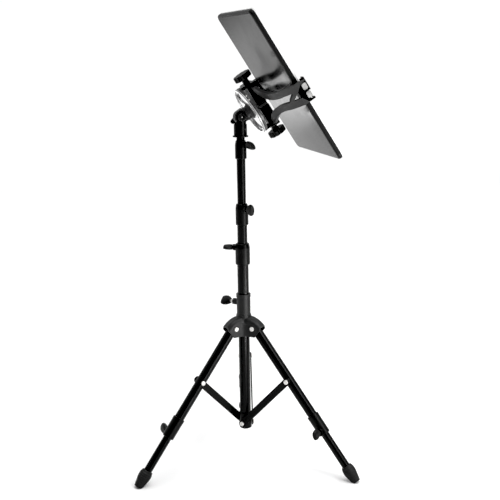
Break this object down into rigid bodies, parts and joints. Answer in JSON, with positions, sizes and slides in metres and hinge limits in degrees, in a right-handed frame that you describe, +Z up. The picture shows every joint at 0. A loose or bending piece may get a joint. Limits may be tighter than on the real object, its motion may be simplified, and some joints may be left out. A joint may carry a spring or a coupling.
{
  "type": "tripod music stand",
  "caption": "Folding tripod stand with a telescoping mast, a sliding leg hub, braced telescoping legs and a tilting, turning spring-arm clamp that grips a flat music panel.",
  "frame": {"origin": "on the floor, under the centre of the mast", "axes": "+Z up along the mast, -Y is the way the panel faces, +X along the tilt pin to the right of someone facing the panel back"},
  "size_m": [0.3208, 0.3221, 0.6802],
  "materials": {
    "black_tube": "gloss",
    "black_plastic": "semi gloss",
    "knob_plastic": "satin",
    "nickel": "polished",
    "black_bolt": "black, rubbed bright in the middle",
    "foot_rubber": "matte",
    "silver_disc": "satin silver",
    "block_plastic": "satin",
    "grey_plastic": "satin",
    "pale_rubber": "matte",
    "panel_back": "satin grey",
    "panel_front": "polished pale"
  },
  "bodies": {
    "mast_base": {"main_tube": "black_tube", "bottom_bracket": "black_plastic", "bracket_rivets": "nickel", "lower_collar": "black_plastic"},
    "lower_collar_screw": {"lower_collar_screw": "knob_plastic"},
    "hub": {"leg_hub": "black_plastic", "hub_rivets": "nickel"},
    "hub_screw": {"hub_screw": "knob_plastic"},
    "mid_mast": {"mid_tube": "black_tube", "upper_collar": "black_plastic"},
    "upper_collar_screw": {"upper_collar_screw": "knob_plastic"},
    "top_mast": {"top_tube": "black_tube", "top_collar": "black_plastic"},
    "top_collar_screw": {"top_collar_screw": "knob_plastic"},
    "head": {"head_post": "black_plastic", "tilt_bolt": "black_bolt"},
    "tilt_nut": {"tilt_nut": "knob_plastic"},
    "neck": {"neck": "grey_plastic", "turn_nut": "nickel"},
    "clamp": {"turn_disc": "silver_disc", "clamp_upper": "block_plastic", "clamp_lower": "block_plastic", "clamp_rail": "grey_plastic", "panel_shell": "panel_back", "panel_face": "panel_front"},
    "near_jaw": {"near_arms": "grey_plastic", "near_hook": "block_plastic", "near_pads": "pale_rubber"},
    "far_jaw": {"far_arms": "grey_plastic", "far_hook": "block_plastic", "far_pads": "pale_rubber"},
    "clamp_knob_upper": {"clamp_knob_upper": "knob_plastic"},
    "clamp_knob_lower": {"clamp_knob_lower": "knob_plastic"},
    "leg_1": {"upper_leg_1": "black_tube", "leg_collar_1": "black_plastic", "leg_rivet_1": "nickel"},
    "leg_screw_1": {"leg_screw_1": "knob_plastic"},
    "lower_leg_1": {"lower_leg_1": "black_tube", "foot_1": "foot_rubber"},
    "strut_1": {"strut_1": "black_tube", "strut_rivet_1": "nickel"},
    "leg_2": {"upper_leg_2": "black_tube", "leg_collar_2": "black_plastic", "leg_rivet_2": "nickel"},
    "leg_screw_2": {"leg_screw_2": "knob_plastic"},
    "lower_leg_2": {"lower_leg_2": "black_tube", "foot_2": "foot_rubber"},
    "strut_2": {"strut_2": "black_tube", "strut_rivet_2": "nickel"},
    "leg_3": {"upper_leg_3": "black_tube", "leg_collar_3": "black_plastic", "leg_rivet_3": "nickel"},
    "leg_screw_3": {"leg_screw_3": "knob_plastic"},
    "lower_leg_3": {"lower_leg_3": "black_tube", "foot_3": "foot_rubber"},
    "strut_3": {"strut_3": "black_tube", "strut_rivet_3": "nickel"}
  },
  "joints": [
    {"name": "hub_slide", "type": "slide", "parent": "mast_base", "child": "hub", "axis": [0, 0, 1], "range_m": [0, 0.045]},
    {"name": "hub_screw_turn", "type": "hinge", "parent": "hub", "child": "hub_screw", "pos_m": [0, 0, 0.25279], "axis": [0.7009, 0.7133, 0], "continuous": true},
    {"name": "lower_collar_screw_turn", "type": "hinge", "parent": "mast_base", "child": "lower_collar_screw", "pos_m": [0, 0, 0.3379], "axis": [0.4695, 0.8829, 0], "continuous": true},
    {"name": "mid_slide", "type": "slide", "parent": "mast_base", "child": "mid_mast", "axis": [0, 0, 1], "range_m": [-0.0275, 0.2]},
    {"name": "upper_collar_screw_turn", "type": "hinge", "parent": "mid_mast", "child": "upper_collar_screw", "pos_m": [0, 0, 0.3974], "axis": [-0.9537, -0.3007, 0], "continuous": true},
    {"name": "top_slide", "type": "slide", "parent": "mid_mast", "child": "top_mast", "axis": [0, 0, 1], "range_m": [-0.0655, 0.2]},
    {"name": "top_collar_screw_turn", "type": "hinge", "parent": "top_mast", "child": "top_collar_screw", "pos_m": [0, 0, 0.4909], "axis": [-0.8704, -0.4924, 0], "continuous": true},
    {"name": "head_pan", "type": "hinge", "parent": "top_mast", "child": "head", "pos_m": [0, 0, 0.5024], "axis": [0, 0, 1], "continuous": true},
    {"name": "head_tilt", "type": "hinge", "parent": "head", "child": "neck", "pos_m": [0, 0, 0.5312], "axis": [1, 0, 0], "range_deg": [-50, 25]},
    {"name": "tilt_nut_turn", "type": "hinge", "parent": "head", "child": "tilt_nut", "pos_m": [0, 0, 0.5312], "axis": [1, 0, 0], "continuous": true},
    {"name": "panel_turn", "type": "hinge", "parent": "neck", "child": "clamp", "pos_m": [0, -0.00081, 0.52994], "axis": [0, -0.8434, 0.5373], "continuous": true},
    {"name": "near_jaw_slide", "type": "slide", "parent": "clamp", "child": "near_jaw", "axis": [-1, 0, 0], "range_m": [0, 0.012]},
    {"name": "far_jaw_slide", "type": "slide", "parent": "clamp", "child": "far_jaw", "axis": [1, 0, 0], "range_m": [0, 0.012]},
    {"name": "clamp_knob_upper_turn", "type": "hinge", "parent": "clamp", "child": "clamp_knob_upper", "pos_m": [0, -0.0299, 0.54847], "axis": [0, 0.5373, 0.8434], "continuous": true},
    {"name": "clamp_knob_lower_turn", "type": "hinge", "parent": "clamp", "child": "clamp_knob_lower", "pos_m": [0, -0.0299, 0.54847], "axis": [0, -0.5373, -0.8434], "continuous": true},
    {"name": "leg_fold_1", "type": "hinge", "parent": "hub", "child": "leg_1", "pos_m": [0.0184, -0.00476, 0.21579], "axis": [0.2504, 0.9681, 0], "range_deg": [0, 30.56]},
    {"name": "strut_fold_1", "type": "hinge", "parent": "mast_base", "child": "strut_1", "pos_m": [0, 0, 0.0606], "axis": [-0.2504, -0.9681, 0], "range_deg": [0, 27.39]},
    {"name": "leg_slide_1", "type": "slide", "parent": "leg_1", "child": "lower_leg_1", "axis": [0.5934, -0.1535, -0.7902], "range_m": [-0.0555, 0.07]},
    {"name": "leg_screw_turn_1", "type": "hinge", "parent": "leg_1", "child": "leg_screw_1", "pos_m": [0.12609, -0.03261, 0.07238], "axis": [0.765, -0.1978, 0.6129], "continuous": true},
    {"name": "leg_fold_2", "type": "hinge", "parent": "hub", "child": "leg_2", "pos_m": [-0.00508, 0.01831, 0.21579], "axis": [-0.9636, -0.2672, 0], "range_deg": [0, 30.56]},
    {"name": "strut_fold_2", "type": "hinge", "parent": "mast_base", "child": "strut_2", "pos_m": [0, 0, 0.0606], "axis": [0.9636, 0.2672, 0], "range_deg": [0, 27.39]},
    {"name": "leg_slide_2", "type": "slide", "parent": "leg_2", "child": "lower_leg_2", "axis": [-0.1638, 0.5906, -0.7902], "range_m": [-0.0555, 0.07]},
    {"name": "leg_screw_turn_2", "type": "hinge", "parent": "leg_2", "child": "leg_screw_2", "pos_m": [-0.03481, 0.12551, 0.07238], "axis": [0.9636, 0.2672, 0], "continuous": true},
    {"name": "leg_fold_3", "type": "hinge", "parent": "hub", "child": "leg_3", "pos_m": [-0.01332, -0.01355, 0.21579], "axis": [0.7133, -0.7009, 0], "range_deg": [0, 30.56]},
    {"name": "strut_fold_3", "type": "hinge", "parent": "mast_base", "child": "strut_3", "pos_m": [0, 0, 0.0606], "axis": [-0.7133, 0.7009, 0], "range_deg": [0, 27.39]},
    {"name": "leg_slide_3", "type": "slide", "parent": "leg_3", "child": "lower_leg_3", "axis": [-0.4296, -0.4372, -0.7902], "range_m": [-0.0555, 0.07]},
    {"name": "leg_screw_turn_3", "type": "hinge", "parent": "leg_3", "child": "leg_screw_3", "pos_m": [-0.09129, -0.0929, 0.07238], "axis": [-0.7133, 0.7009, 0], "continuous": true}
  ],
  "couplings": [
    {"joint": "leg_fold_1", "follows": "hub_slide", "rad_per_m": 11.775},
    {"joint": "strut_fold_1", "follows": "hub_slide", "rad_per_m": 10.546},
    {"joint": "leg_fold_2", "follows": "hub_slide", "rad_per_m": 11.775},
    {"joint": "strut_fold_2", "follows": "hub_slide", "rad_per_m": 10.546},
    {"joint": "leg_fold_3", "follows": "hub_slide", "rad_per_m": 11.775},
    {"joint": "strut_fold_3", "follows": "hub_slide", "rad_per_m": 10.546}
  ]
}
